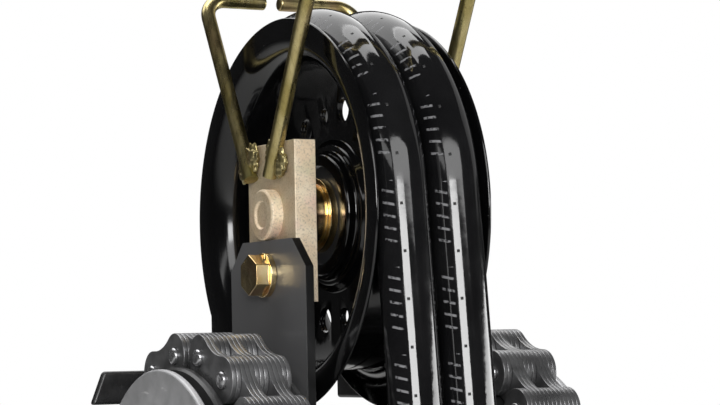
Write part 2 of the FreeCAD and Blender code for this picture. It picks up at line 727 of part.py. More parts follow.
def chain_plate():
    """One waisted link plate: a pin hole at the origin, the other one pitch along X."""
    pitch, end, waist = size("pitch"), size("link_radius"), size("link_waist")
    hollow = (pitch ** 2 / 4 + waist ** 2 - end ** 2) / (2 * (end - waist))
    touch = Vector(pitch / 2, 0, waist + hollow) * (end / (end + hollow))
    far_touch = Vector(pitch - touch.x, 0, touch.z)

    def below(point):
        return Vector(point.x, 0, -point.z)

    arcs = (
        Part.Arc(below(touch), Vector(-end, 0, 0), touch),
        Part.Arc(touch, Vector(pitch / 2, 0, waist), far_touch),
        Part.Arc(far_touch, Vector(pitch + end, 0, 0), below(far_touch)),
        Part.Arc(below(far_touch), Vector(pitch / 2, 0, -waist), below(touch)),
    )
    face = Part.Face(Part.Wire([arc.toShape() for arc in arcs]))
    blank = face.extrude(Vector(0, size("link_thick"), 0))
    for across in (0, pitch):
        hole = Part.makeCylinder(size("pin_radius") + 0.08, 10, Vector(across, -2, 0), Vector(0, 1, 0))
        blank = blank.cut(hole)
    return blank


def chain_width():
    """From the inside of the first row of plates to the outside of the last."""
    return size("link_step") * (CHAIN_ROWS - 1) + size("link_thick")


def make_chains():
    """Leaf chains: thin plates in groups of two or three that interlace, joined by riveted pins."""
    spots = chain_pin_spots()
    flat = chain_plate()
    height = size("sheave_height")
    inner = size("chain_inner")
    step, thick = size("link_step"), size("link_thick")
    for word, side in SIDES:
        plates = {"outer": [], "inner": []}
        for index, (here, there) in enumerate(zip(spots, spots[1:])):
            lean = math.degrees(math.atan2(-(there.z - here.z), there.x - here.x))
            row = "inner" if index % 2 == 0 else "outer"
            rows = [first + more for first, count in PLATE_GROUPS[row] for more in range(count)]
            for number in rows:
                low = inner + number * step
                across = low if side == RIGHT else -low - thick
                spot = Placement(here + Vector(0, across, height), Rotation(Vector(0, 1, 0), lean))
                solid = flat.copy()
                solid.Placement = spot
                plates[row].append(solid)
        for row, solids in plates.items():
            keep(fixed(f"{word}_{row}_links", Part.makeCompound(solids)), f"{word}_chain_{row}_plates")
        pins = []
        across = chain_width()
        start = inner - PIN_PROUD if side == RIGHT else -(inner + across + PIN_PROUD)
        for spot in spots:
            low_end = spot + Vector(0, start, height)
            pin = Part.makeCylinder(size("pin_radius"), across + 2 * PIN_PROUD, low_end, Vector(0, 1, 0))
            pins.append(pin.makeChamfer(0.7, [edge for edge in pin.Edges if edge.Closed]))
        keep(fixed(f"{word}_pins", Part.makeCompound(pins)), f"{word}_chain_pins")
        for end_word, spot in (("rear", spots[0]), ("front", spots[-1])):
            position = spot + Vector(0, 0, height)
            end = fixed(f"{word}_{end_word}_anchor_shape", anchor(side), position)
            keep(end, f"{word}_{end_word}_chain_anchor")
    return spots


def anchor(side):
    """A slotted chain end with its threaded stud, about its pin."""
    inner, step, thick = size("chain_inner"), size("link_step"), size("link_thick")
    across = chain_width()
    low = inner if side == RIGHT else -inner - across
    corner = Vector(-ANCHOR_HALF, low, -ANCHOR_BLOCK)
    block = Part.makeBox(2 * ANCHOR_HALF, across, ANCHOR_BLOCK, corner)
    top = Part.makeCylinder(ANCHOR_HALF, across, Vector(0, low, 0), Vector(0, 1, 0))
    stud_top = Vector(0, low + across / 2, -ANCHOR_BLOCK)
    stud = Part.makeCylinder(STUD_RADIUS, STUD_LENGTH, stud_top, Vector(0, 0, -1))
    stud = stud.makeChamfer(1.2, [edge for edge in stud.Edges if edge.Closed and edge.CenterOfMass.z < -50])
    shape = block.fuse([top, stud]).removeSplitter()
    for first, count in PLATE_GROUPS["inner"]:
        wide = (count - 1) * step + thick + 0.12
        start = inner + first * step - 0.06
        start = start if side == RIGHT else -start - wide
        slot = Part.makeBox(60, wide, 60, Vector(-30, start, -ANCHOR_NECK))
        shape = shape.cut(slot)
    hole = Part.makeCylinder(size("pin_radius") + 0.08, across, Vector(0, low, 0), Vector(0, 1, 0))
    return shape.cut(hole)


def hexagon(flats, tall, spot, direction):
    """A hexagonal bar with two flats square to the cross axis."""
    corners = [
        Vector(flats / math.sqrt(3) * math.cos(math.radians(60 * index)),
               flats / math.sqrt(3) * math.sin(math.radians(60 * index)), 0)
        for index in range(7)
    ]
    bar = Part.Face(Part.makePolygon(corners)).extrude(Vector(0, 0, tall))
    narrow = flats / 2 + 0.2
    wide = narrow + 2 * tall
    bar = bar.common(Part.makeCone(narrow, wide, 2 * tall))
    bar = bar.common(Part.makeCone(wide, narrow, 2 * tall, Vector(0, 0, -tall)))
    bar.Placement = Placement(spot, Rotation(Vector(0, 0, 1), direction))
    return bar


def make_anchor_nuts(spots):
    """A nut and a lock nut on each chain anchor's stud."""
    nuts = []
    middle = size("chain_inner") + chain_width() / 2
    for side in (LEFT, RIGHT):
        for spot in (spots[0], spots[-1]):
            for drop in (ANCHOR_BLOCK + 16, ANCHOR_BLOCK + 28):
                top = Vector(spot.x, side * middle, spot.z + size("sheave_height") - drop)
                nut = hexagon(ANCHOR_NUT_FLATS, ANCHOR_NUT_TALL, top, Vector(0, 0, -1))
                hole = Part.makeCylinder(STUD_RADIUS + 0.05, 40, top + Vector(0, 0, 10), Vector(0, 0, -1))
                nuts.append(nut.cut(hole))
    keep(fixed("anchor_nut_shapes", Part.makeCompound(nuts)), "chain_anchor_nuts")


def make_keepers():
    """Angle brackets behind each sheave that stop a slack chain from jumping off."""
    high = "pulley_height - keeper_fall"
    low = f"{high} - keeper_tall"
    face = "strap_inner + strap_thick"
    for word, side in SIDES:
        body = doc.addObject("PartDesign::Body", f"keeper_blade_{word}")
        sketch = new_sketch(body, "YZ_Plane", f"keeper_outline_{word}")
        outline(sketch, [(f"{side} * ({across})", up) for across, up in (
            (face, low), ("keeper_end + keeper_slant", low), ("keeper_end", high), (face, high),
        )])
        pad = body.newObject("PartDesign::Pad", f"keeper_pad_{word}")
        pad.Profile = sketch
        pad.Reversed = True
        pad.setExpression("Length", link("plate_thick"))
        place(body, x="-keeper_back")
        arm_y = face if side == RIGHT else f"-({face} + plate_thick)"
        arm = box(
            f"keeper_arm_{word}", "keeper_back + plate_shift - plate_width / 2",
            "plate_thick", "keeper_tall", x="-keeper_back", y=arm_y, z=low,
        )
        keep(joined(f"keeper_{word}", body, arm), f"{word}_chain_keeper")


# ---------------------------------------------------------------- hoses

def hose_route(word, side):
    """Corners of one hose's route, from its rear end over the pulley to its front end."""
    height = size("pulley_height")
    across = side * size("hose_offset") - size("pulley_shift")
    end = -HOSE_ENDS[word]
    last_x, last_z = HOSE_CORNERS[-1]
    front_x = last_x + (last_z - end) * math.tan(math.radians(size("hose_lean")))
    route = [(HOSE_CORNERS[0][0], end), *HOSE_CORNERS, (front_x, end)]
    return [Vector(x, across, height + z) for x, z in route]


def make_hoses():
    """Two hoses over the pulley, each ending in a crimped ferrule and a union nut."""
    for word, side in SIDES:
        route = hose_route(word, side)
        radii = [size("wrap_radius") * 0.99995] * len(HOSE_CORNERS)
        bar = round_bar(route, radii, size("hose_radius"), f"{word}_hose")
        keep(fixed(f"{word}_hose_shape", bar), f"{word}_hose")
        ferrules, nuts = [], []
        for end, inside in ((route[0], route[1]), (route[-1], route[-2])):
            way = (end - inside).normalize()
            ferrule = Part.makeCylinder(FERRULE_RADIUS, FERRULE_LENGTH, end, way)
            ferrule = ferrule.makeChamfer(0.8, [edge for edge in ferrule.Edges if edge.Closed])
            tail = Part.makeCylinder(NUT_NECK, NUT_LENGTH - NUT_THREAD, end + way * FERRULE_LENGTH, way)
            ferrules.append(ferrule.fuse(tail).removeSplitter())
            nut = hexagon(NUT_FLATS, NUT_LENGTH, end + way * (FERRULE_LENGTH + 0.05), way)
            neck = Part.makeCylinder(NUT_NECK + 0.05, NUT_LENGTH, end + way * FERRULE_LENGTH, way)
            mouth = end + way * (FERRULE_LENGTH + 0.05 + NUT_LENGTH)
            bore = Part.makeCylinder(NUT_BORE, NUT_THREAD, mouth - way * NUT_THREAD, way)
            nuts.append(nut.cut([neck, bore]))
            print(f"{word} hose nut mouth", mouth, "way", way)
        keep(fixed(f"{word}_ferrule_shapes", Part.makeCompound(ferrules)), f"{word}_hose_ferrules")
        keep(fixed(f"{word}_nut_shapes", Part.makeCompound(nuts)), f"{word}_hose_nuts")


# ---------------------------------------------------------------- build, check and write

def make_all():
    make_crosshead()
    make_shaft()
    make_side_plates()
    make_straps()
    make_fasteners()
    make_guides()
    make_axle()
    make_pulley_shells()
    make_bearing("pulley_bearing", PULLEY_BEARING, (0,), "pulley_height", "-pulley_shift")
    make_sheaves()
    first = size("sheave_inner") + 0.2 + SHEAVE_BEARING[2] / 2
    second = size("sheave_inner + sheave_width") - 0.2 - SHEAVE_BEARING[2] / 2
    for word, side in SIDES:
        make_bearing(f"{word}_bearing", SHEAVE_BEARING, (side * first, side * second), "sheave_height")
    spots = make_chains()
    make_anchor_nuts(spots)
    make_keepers()
    make_hoses()
    print("chain end pins", spots[0], spots[-1])


def check_and_write():
    """Stop on a failed object or a bad solid, then write one file for each sub-part."""
    doc.recompute()
    for item in doc.Objects:
        if {"Invalid", "Error"} & set(item.State):
            raise RuntimeError(f"{item.Name} failed: {item.State}")
    os.makedirs("parts", exist_ok=True)
    for item in NODES:
        if item.Shape.isNull() or not item.Shape.isValid() or not item.Shape.Solids:
            raise RuntimeError(item.Label + " is not a valid solid")
        item.Shape.exportStep(f"parts/{item.Label}.step")
    print(len(NODES), "sub-parts,", sum(len(item.Shape.Solids) for item in NODES), "solids")


make_all()
check_and_write()
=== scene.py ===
"""The looks of a fork-lift mast crosshead: a gloss black hose pulley with two hoses, leaf chains
and a zinc bracket.

Metres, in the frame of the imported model: +X is the front, Y runs across (left is -Y) and Z is up.
"""

import json
import math

import bmesh
import bpy
from mathutils import Matrix, Vector, noise


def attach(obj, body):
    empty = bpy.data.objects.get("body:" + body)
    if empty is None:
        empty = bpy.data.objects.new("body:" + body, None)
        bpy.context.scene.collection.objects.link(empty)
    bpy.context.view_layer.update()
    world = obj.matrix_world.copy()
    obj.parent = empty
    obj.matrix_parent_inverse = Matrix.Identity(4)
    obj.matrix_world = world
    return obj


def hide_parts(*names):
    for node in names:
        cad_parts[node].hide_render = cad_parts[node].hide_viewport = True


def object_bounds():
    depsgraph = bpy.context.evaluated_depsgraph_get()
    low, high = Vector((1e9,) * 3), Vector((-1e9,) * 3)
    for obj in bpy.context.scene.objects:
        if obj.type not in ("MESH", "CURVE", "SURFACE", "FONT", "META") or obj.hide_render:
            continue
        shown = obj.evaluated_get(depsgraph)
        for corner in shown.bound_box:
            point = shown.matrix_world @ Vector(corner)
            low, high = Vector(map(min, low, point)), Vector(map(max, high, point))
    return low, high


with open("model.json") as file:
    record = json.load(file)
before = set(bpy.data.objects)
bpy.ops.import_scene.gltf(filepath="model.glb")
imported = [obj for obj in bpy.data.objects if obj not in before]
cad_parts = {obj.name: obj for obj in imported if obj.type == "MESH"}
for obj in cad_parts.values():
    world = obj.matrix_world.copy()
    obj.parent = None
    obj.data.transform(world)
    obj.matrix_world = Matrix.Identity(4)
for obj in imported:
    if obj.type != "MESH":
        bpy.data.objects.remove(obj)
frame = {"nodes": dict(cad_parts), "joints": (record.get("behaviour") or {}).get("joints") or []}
cad_box = [list(corner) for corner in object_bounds()]

MM = 0.001
ROOT = "crosshead_frame"      # the body that doesn't turn
PIVOTS = {joint["name"]: Vector(joint["pos_m"]) for joint in frame["joints"]}
PULLEY = PIVOTS["hose_pulley_spin"]
SHEAVE = PIVOTS["left_sheave_spin"]
SIDES = (("left", -1), ("right", 1))


# ---------------------------------------------------------------- camera

SENSOR_WIDTH = 36            # millimetres
FOCAL_LENGTH = 118.58        # millimetres
CAMERA_PLACE = Vector((0.7094, -0.3750, -0.0455))     # from the pulley's axis
CAMERA_TURN = (93.551, 61.571)     # tilt from straight down, and turn about Z, in degrees
CAMERA_ROLL = -1.199         # degrees


def make_camera():
    lens = bpy.data.cameras.new("camera")
    lens.sensor_width = SENSOR_WIDTH
    lens.lens = FOCAL_LENGTH
    lens.clip_start = 0.01
    camera = bpy.data.objects.new("camera", lens)
    tilt, turn = (math.radians(angle) for angle in CAMERA_TURN)
    aim = Matrix.Rotation(turn, 4, "Z") @ Matrix.Rotation(tilt, 4, "X")
    roll = Matrix.Rotation(math.radians(CAMERA_ROLL), 4, "Z")
    camera.matrix_world = Matrix.Translation(PULLEY + CAMERA_PLACE) @ aim @ roll
    bpy.context.scene.collection.objects.link(camera)
    bpy.context.scene.camera = camera
    bpy.context.scene.view_settings.view_transform = "Standard"


# ---------------------------------------------------------------- mesh helpers

SAME_SPOT = 2e-6             # CAD corners closer than this, in metres, are one corner
FLAT_WITHIN = 0.5            # degrees: CAD faces that turn less than this are one face
ROUND_BEYOND = 40            # degrees: edges sharper than this are rounded off


def new_piece(name, mesh, finish, body, stands_for):
    """Put a mesh or curve on a body, with its material, in place of a CAD node."""
    piece = bpy.data.objects.new(name, mesh)
    bpy.context.scene.collection.objects.link(piece)
    mesh.materials.clear()
    mesh.materials.append(finish)
    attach(piece, body)
    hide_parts(stands_for)
    return piece


def mesh_of(name, corners, faces):
    mesh = bpy.data.meshes.new(name)
    mesh.from_pydata([tuple(corner) for corner in corners], [], faces)
    mesh.update()
    return mesh


def baked(mesh, *modifiers):
    """A mesh after modifiers, each (kind, settings)."""
    holder = bpy.data.objects.new("holder", mesh)
    bpy.context.scene.collection.objects.link(holder)
    for kind, settings in modifiers:
        modifier = holder.modifiers.new(kind, kind)
        for word, value in settings.items():
            setattr(modifier, word, value)
    changed = holder.evaluated_get(bpy.context.evaluated_depsgraph_get())
    result = bpy.data.meshes.new_from_object(changed)
    result.name = mesh.name
    bpy.data.objects.remove(holder)
    return result


def smooth(mesh, angle):
    """Smooth shading that breaks at edges sharper than an angle in degrees."""
    mesh.shade_smooth()
    mesh.set_sharp_from_angle(angle=math.radians(angle))
    return mesh


def rounded(mesh, radius, segments=3):
    """A mesh with its sharp edges rounded off and its flat faces still flat."""
    mesh.shade_smooth()
    return baked(
        mesh,
        ("BEVEL", {
            "width": radius, "segments": segments, "limit_method": "ANGLE",
            "angle_limit": math.radians(ROUND_BEYOND), "use_clamp_overlap": True,
        }),
        ("WEIGHTED_NORMAL", {"weight": 90, "keep_sharp": True}),
    )


def plain_mesh(node):
    """A CAD node's surface, welded and with its flat faces whole."""
    source = frame["nodes"][node].data
    faces = [tuple(polygon.vertices) for polygon in source.polygons]
    mesh = mesh_of(node + "_mesh", [vertex.co for vertex in source.vertices], faces)
    shape = bmesh.new()
    shape.from_mesh(mesh)
    bmesh.ops.remove_doubles(shape, verts=shape.verts, dist=SAME_SPOT)
    flat = math.radians(FLAT_WITHIN)
    bmesh.ops.dissolve_limit(shape, angle_limit=flat, verts=shape.verts, edges=shape.edges)
    shape.to_mesh(mesh)
    shape.free()
    return mesh


def solids(node):
    """The box of each separate solid in a CAD node, as (lowest, highest) corners."""
    shape = bmesh.new()
    shape.from_mesh(frame["nodes"][node].data)
    bmesh.ops.remove_doubles(shape, verts=shape.verts, dist=SAME_SPOT)
    left = set(shape.verts)
    boxes = []
    while left:
        queue = [left.pop()]
        found = []
        while queue:
            vertex = queue.pop()
            found.append(vertex.co.copy())
            for edge in vertex.link_edges:
                other = edge.other_vert(vertex)
                if other in left:
                    left.remove(other)
                    queue.append(other)
        low = Vector([min(point[axis] for point in found) for axis in range(3)])
        high = Vector([max(point[axis] for point in found) for axis in range(3)])
        boxes.append((low, high))
    shape.free()
    return sorted(boxes, key=lambda box: tuple(round(value, 5) for value in (*box[0], *box[1])))


def turned(name, profile, centre, steps):
    """A ring about a cross axis; the closed profile is (radius, distance along Y)."""
    count = len(profile)
    corners = []
    for step in range(steps):
        angle = 2 * math.pi * step / steps
        for radius, across in profile:
            spot = Vector((radius * math.sin(angle), across, radius * math.cos(angle)))
            corners.append(centre + spot)
    faces = []
    for step in range(steps):
        here, there = step * count, (step + 1) % steps * count
        for index in range(count):
            after = (index + 1) % count
            faces.append((here + index, there + index, there + after, here + after))
    return mesh_of(name, corners, faces)


def facing_out(mesh):
    """Turn a closed mesh's faces outwards and merge its doubled corners."""
    shape = bmesh.new()
    shape.from_mesh(mesh)
    bmesh.ops.remove_doubles(shape, verts=shape.verts, dist=1e-7)
    bmesh.ops.recalc_face_normals(shape, faces=shape.faces)
    shape.to_mesh(mesh)
    shape.free()
    return mesh


def together(name, meshes):
    """Several meshes as one."""
    shape = bmesh.new()
    for mesh in meshes:
        shape.from_mesh(mesh)
    whole = bpy.data.meshes.new(name)
    shape.to_mesh(whole)
    shape.free()
    return whole


# ---------------------------------------------------------------- material helpers

class Finish:
    """A node material built up on one principled surface."""

    def __init__(self, name, **surface):
        self.material = bpy.data.materials.new(name)
        self.material.use_nodes = True
        self.tree = self.material.node_tree
        self.surface = self.tree.nodes["Principled BSDF"]
        self.coordinates = self.add("ShaderNodeTexCoord")
        self.place = self.coordinates.outputs["Object"]
        self.normal = None
        self.give(**surface)

    def give(self, **surface):
        """Set or link inputs of the surface: base_color=..., roughness=..."""
        for word, value in surface.items():
            self.put(self.surface.inputs[word.replace("_", " ").title().replace("Ior", "IOR")], value)

    def put(self, socket, value):
        if isinstance(value, bpy.types.NodeSocket):
            self.tree.links.new(value, socket)
        elif isinstance(value, tuple) and len(value) == 3 and socket.type == "RGBA":
            socket.default_value = (*value, 1)
        else:
            socket.default_value = value

    def add(self, kind, inputs=None, **settings):
        item = self.tree.nodes.new(kind)
        for word, value in settings.items():
            setattr(item, word, value)
        for word, value in (inputs or {}).items():
            self.put(item.inputs[word], value)
        return item

    def math(self, operation, first, second=0.0):
        item = self.add("ShaderNodeMath", {0: first, 1: second}, operation=operation)
        return item.outputs[0]

    def parts(self, vector):
        return self.add("ShaderNodeSeparateXYZ", {0: vector}).outputs

    def stretched(self, stretch):
        return self.add("ShaderNodeMapping", {"Vector": self.place, "Scale": stretch}).outputs[0]

    def noise(self, scale, detail=2.0, stretch=None, place=None):
        """Cloudy noise from 0 to 1, with so many lumps to the metre."""
        vector = place or (self.stretched(stretch) if stretch else self.place)
        item = self.add("ShaderNodeTexNoise", {"Vector": vector, "Scale": scale, "Detail": detail})
        return item.outputs[0]

    def specks(self, scale, share):
        """Small round dots, 1 inside and 0 outside, on part of a grid of cells."""
        cells = self.add("ShaderNodeTexVoronoi", {"Vector": self.place, "Scale": scale})
        dots = self.between(cells.outputs["Distance"], 0.16, 0.08)
        chosen = self.between(self.parts(cells.outputs["Color"])[0], share, share * 0.8)
        return self.math("MULTIPLY", dots, chosen)

    def between(self, value, start, end, low=0.0, high=1.0):
        """Map a value from start..end to low..high, held at both ends."""
        words = {"From Min": start, "From Max": end, "To Min": low, "To Max": high}
        item = self.add("ShaderNodeMapRange", {"Value": value, **words}, clamp=True)
        return item.outputs[0]

    def blend(self, share, first, second, how="MIX"):
        """Mix two colours."""
        item = self.add("ShaderNodeMix", data_type="RGBA", blend_type=how)
        self.put(item.inputs[0], share)
        self.put(item.inputs[6], first)
        self.put(item.inputs[7], second)
        return item.outputs[2]

    def bands(self, value, *stops):
        """A colour ramp of (position, colour) stops."""
        item = self.add("ShaderNodeValToRGB", {0: value})
        points = item.color_ramp.elements
        while len(points) < len(stops):
            points.new(0.5)
        for point, (position, colour) in zip(points, stops):
            point.position = position
            point.color = (*colour, 1)
        return item.outputs[0]

    def bump(self, height, depth):
        """Raise the surface by height times depth, on top of any bump so far."""
        inputs = {"Height": height, "Distance": depth, "Strength": 1.0}
        if self.normal:
            inputs["Normal"] = self.normal
        self.normal = self.add("ShaderNodeBump", inputs).outputs[0]
        self.put(self.surface.inputs["Normal"], self.normal)

    def from_axis(self, centre):
        """Distance from a cross axis through centre."""
        across = self.add(
            "ShaderNodeVectorMath", {0: self.place, 1: (centre.x, 0.0, centre.z)}, operation="SUBTRACT"
        ).outputs[0]
        flat = self.add(
            "ShaderNodeVectorMath", {0: across, 1: (1.0, 0.0, 1.0)}, operation="MULTIPLY"
        ).outputs[0]
        return self.add("ShaderNodeVectorMath", {0: flat}, operation="LENGTH").outputs["Value"]

    def faces_across(self):
        """1 on faces that look to the left or the right, 0 on the others."""
        across = self.math("ABSOLUTE", self.parts(self.coordinates.outputs["Normal"])[1])
        return self.between(across, 0.6, 0.8)

    def lathe_lines(self, centre, lines):
        """Fine turned rings about a cross axis, so many to the metre."""
        radius = self.from_axis(centre)
        spot = self.add("ShaderNodeCombineXYZ", {0: radius, 1: self.parts(self.place)[1]}).outputs[0]
        return self.noise(lines, 3.0, place=spot)


# ---------------------------------------------------------------- sizes of the hoses

# The same route as the CAD hoses: (X, Z) in millimetres from the pulley's axis, rear to front.
HOSE_ROUTE = (
    (-61.0, -15.8),
    (-61.0, 15.78),
    (-45.7, 43.37),
    (-18.95, 60.09),
    (12.56, 61.74),
    (40.92, 47.91),
    (59.02, 22.07),
    (62.32, -9.36),
)
HOSE_LEAN = math.radians(6)  # forward lean of the front runs
HOSE_WRAP = 61 * MM          # radius of the centre line round the pulley
# Each hose: across, and height of its ends, in millimetres from the pulley; and its length in metres.
HOSES = {"left": (-9.6, -88.0, 0.3682), "right": (9.6, -140.0, 0.4724)}
HOSE_RADIUS = 8.7 * MM
HOSE_GIRTH = 2 * math.pi * HOSE_RADIUS
PRINT_PLACE = HOSE_RADIUS * math.radians(56)     # round the hose, from outermost towards the left
PRINT_TALL = 4.6 * MM
PRINT_STEP = 3.9 * MM
PRINT_STROKE = 0.45 * MM     # half the width of a stroke
PRINT_SLANT = 0.3
PRICK_STEP = 15 * MM
PRICK_RADIUS = 0.45 * MM
PRICK_TURN = 0.078           # of the girth, from outermost towards the left


# ---------------------------------------------------------------- materials

DEEP_BLACK = (0.0018, 0.0018, 0.002)
DUST = (0.07, 0.07, 0.068)


def black_gloss(name, orange_peel=0.012 * MM, smear=(0.07, 0.15), tint=DEEP_BLACK, faces=None):
    """Powder coat: deep black with orange peel, faint smears and a little dust; where faces is given,
    a painted grey sheen on the faces that look left or right.
    """
    finish = Finish(name, coat_weight=0.15, coat_roughness=0.06, specular_ior_level=0.5)
    dusty = finish.between(finish.noise(45), 0.5, 0.62)
    dust = finish.math("MULTIPLY", finish.specks(520, 0.10), dusty)
    cloud = finish.between(finish.noise(30, 5), 0.35, 0.7)
    colour = finish.blend(cloud, tint, tuple(2.2 * value for value in tint))
    # Painted sheen: the faces that look left or right take the grey of faces, standing in for the
    # light they reflect.
    if faces:
        colour = finish.blend(finish.faces_across(), colour, faces)
    rough = finish.between(finish.noise(22, 6), 0.35, 0.68, *smear)
    finish.give(
        base_color=finish.blend(dust, colour, DUST),
        roughness=finish.math("ADD", rough, finish.math("MULTIPLY", dust, 0.4)),
    )
    finish.bump(finish.noise(330, 2), orange_peel)
    return finish.material


def zinc(name, colours, rough, grain, stretch=(1, 1, 1), metal=0.85, speckle=0.35, painted_side_shade=1.0):
    """Yellow passivated zinc: cloudy colour with a pink and green bloom, and fine grain; with a side
    shade below 1, painted shade on the faces that look left or right.
    """
    base, pale, pink, green = colours
    finish = Finish(name, metallic=metal, specular_ior_level=0.5)
    cloud = finish.noise(70, 4, stretch=stretch)
    colour = finish.bands(cloud, (0.34, base), (0.5, pale), (0.62, base))
    bloom = finish.noise(110, 3, stretch=tuple(0.7 * value for value in stretch))
    colour = finish.blend(finish.between(bloom, 0.56, 0.70, 0, 0.65), colour, pink)
    colour = finish.blend(finish.between(bloom, 0.42, 0.30, 0, 0.55), colour, green)
    fine = finish.noise(1500, 3, stretch=stretch)
    dark = tuple(0.45 * value for value in base)
    colour = finish.blend(finish.between(fine, 0.5, 0.72, 0, speckle), colour, dark)
    # Painted shade: the faces that look left or right are darkened by the side shade factor, standing
    # in for the shade on the strap's sides.
    if painted_side_shade < 1:
        shade = tuple(painted_side_shade * tone for tone in (1.0, 0.96, 0.88))
        shaded = finish.blend(1.0, colour, shade, "MULTIPLY")
        colour = finish.blend(finish.faces_across(), colour, shaded)
    finish.give(
        base_color=colour,
        roughness=finish.between(finish.noise(240, 4, stretch=stretch), 0.3, 0.7, *rough),
    )
    finish.bump(fine, grain)
    finish.bump(finish.noise(260, 3), 2 * grain)
    return finish.material


def dark_steel(name, dark, light, rough, metal=0.85, grain=0.01 * MM, lines=(1, 1, 1)):
    """Heat darkened or phosphated steel with oily patches and a fine grain."""
    finish = Finish(name, metallic=metal, specular_ior_level=0.5)
    grey = [tuple(value * tone for tone in (1.0, 1.0, 1.02)) for value in (dark, light)]
    colour = finish.blend(finish.between(finish.noise(160, 6, stretch=lines), 0.35, 0.65), *grey)
    scuffs = finish.between(finish.noise(420, 2, stretch=(0.2, 1, 1)), 0.68, 0.74, 0, 0.5)
    finish.give(
        base_color=finish.blend(scuffs, colour, (light * 1.8,) * 3),
        roughness=finish.between(finish.noise(75, 4), 0.35, 0.65, *rough),
    )
    finish.bump(finish.noise(1400, 3, stretch=lines), grain)
    return finish.material


def turned_steel(name, centre, dark, light, rough, metal=0.9, depth=0.006 * MM):
    """Machined steel with rings left by the lathe."""
    finish = Finish(name, metallic=metal)
    rings = finish.lathe_lines(centre, 1600)
    stain = finish.between(finish.noise(60, 5), 0.35, 0.7)
    colour = finish.blend(stain, (light,) * 3, (dark, dark, dark * 1.03))
    finish.give(
        base_color=colour,
        roughness=finish.between(rings, 0.3, 0.7, *rough),
    )
    finish.bump(rings, depth)
    return finish.material


def hose_cover():
    """Smooth black hose cover with vent pricks and a worn line of ink-jet dashes."""
    finish = Finish("hose_cover", specular_ior_level=0.6)
    along, offset, across = hose_position(finish)
    around = finish.math("MULTIPLY", finish.math("ARCTAN2", across, offset), HOSE_RADIUS)

    def repeat(value, step):
        return finish.math("FLOORED_MODULO", value, step)

    def near(value, middle, reach):
        """1 within reach of the middle, softly 0 outside."""
        gap = finish.math("ABSOLUTE", finish.math("SUBTRACT", value, middle))
        return finish.between(gap, reach, reach * 0.75)

    band = near(around, PRINT_PLACE, PRINT_TALL / 2)
    slanted = finish.math("ADD", along, finish.math("MULTIPLY", around, PRINT_SLANT))
    stroke = near(repeat(slanted, PRINT_STEP), PRINT_STEP / 2, PRINT_STROKE)
    groups = finish.between(repeat(along, PRINT_STEP * 7), PRINT_STEP * 5, PRINT_STEP * 5.05, 1, 0)
    worn = finish.between(finish.noise(900, 3), 0.36, 0.5)
    ink = band
    for mask in (stroke, groups, worn):
        ink = finish.math("MULTIPLY", ink, mask)
    prick = finish.math(
        "MULTIPLY",
        near(repeat(along, PRICK_STEP), PRICK_STEP / 2, PRICK_RADIUS),
        near(repeat(around, HOSE_GIRTH / 4), HOSE_GIRTH * PRICK_TURN, PRICK_RADIUS),
    )
    cloud = finish.between(finish.noise(55, 4), 0.35, 0.7)
    colour = finish.blend(cloud, (0.005, 0.005, 0.0055), (0.009, 0.009, 0.0095))
    rough = finish.between(finish.noise(90, 5), 0.35, 0.65, 0.05, 0.12)
    marks = finish.math("MULTIPLY", finish.math("MAXIMUM", ink, prick), 0.7)
    finish.give(
        base_color=finish.blend(finish.math("MULTIPLY", ink, 0.8), colour, (0.24, 0.24, 0.25)),
        roughness=finish.math("MAXIMUM", rough, marks),
    )
    finish.bump(finish.noise(130, 2), 0.05 * MM)
    finish.bump(finish.noise(900, 2), 0.006 * MM)
    finish.bump(finish.math("SUBTRACT", 1.0, prick), 0.35 * MM)
    return finish.material


def hose_position(finish):
    """Where a point lies on its hose: distance along, outwards from the centre line and across it."""
    x, y, z = finish.parts(finish.place)
    x = finish.math("SUBTRACT", x, PULLEY.x)
    y = finish.math("SUBTRACT", y, PULLEY.y)
    z = finish.math("SUBTRACT", z, PULLEY.z)
    end_turn = math.pi / 2 - HOSE_LEAN
    wrap_x, wrap_z = HOSE_WRAP * math.sin(end_turn), HOSE_WRAP * math.cos(end_turn)

    def pick(test, first, second):
        """First where the test is 1, second where it is 0."""
        gap = finish.math("SUBTRACT", first, second)
        return finish.math("ADD", finish.math("MULTIPLY", gap, test), second)

    turn = finish.math("ARCTAN2", x, z)
    in_front = finish.math("GREATER_THAN", turn, end_turn)
    behind = finish.math("LESS_THAN", turn, -math.pi / 2)
    past_x = finish.math("SUBTRACT", x, wrap_x)
    past_z = finish.math("SUBTRACT", wrap_z, z)
    front_along = finish.math(
        "ADD",
        finish.math("MULTIPLY", past_x, math.sin(HOSE_LEAN)),
        finish.math("MULTIPLY", past_z, math.cos(HOSE_LEAN)),
    )
    front_offset = finish.math(
        "SUBTRACT",
        finish.math("MULTIPLY", past_x, math.cos(HOSE_LEAN)),
        finish.math("MULTIPLY", past_z, math.sin(HOSE_LEAN)),
    )
    wrap_along = finish.math("MULTIPLY", finish.math("SUBTRACT", turn, end_turn), HOSE_WRAP)
    wrap_offset = finish.math("SUBTRACT", finish.from_axis(PULLEY), HOSE_WRAP)
    rear_along = finish.math("SUBTRACT", z, HOSE_WRAP * (math.pi / 2 + end_turn))
    rear_offset = finish.math("SUBTRACT", finish.math("MULTIPLY", x, -1), HOSE_WRAP)
    along = pick(in_front, front_along, pick(behind, rear_along, wrap_along))
    offset = pick(in_front, front_offset, pick(behind, rear_offset, wrap_offset))
    middle = finish.math("MULTIPLY", finish.math("SIGN", y), abs(HOSES["left"][0]) * MM)
    return along, offset, finish.math("SUBTRACT", middle, y)


# ---------------------------------------------------------------- hoses

def hose_points(word):
    """Control points of one hose, from its rear end over the pulley to its front end."""
    across, end, _ = HOSES[word]
    last_x, last_z = HOSE_ROUTE[-1]
    front = (last_x + (last_z - end) * math.tan(HOSE_LEAN), end)
    route = ((HOSE_ROUTE[0][0], end), *HOSE_ROUTE, front)
    return [PULLEY + Vector((x, across, z)) * MM for x, z in route]


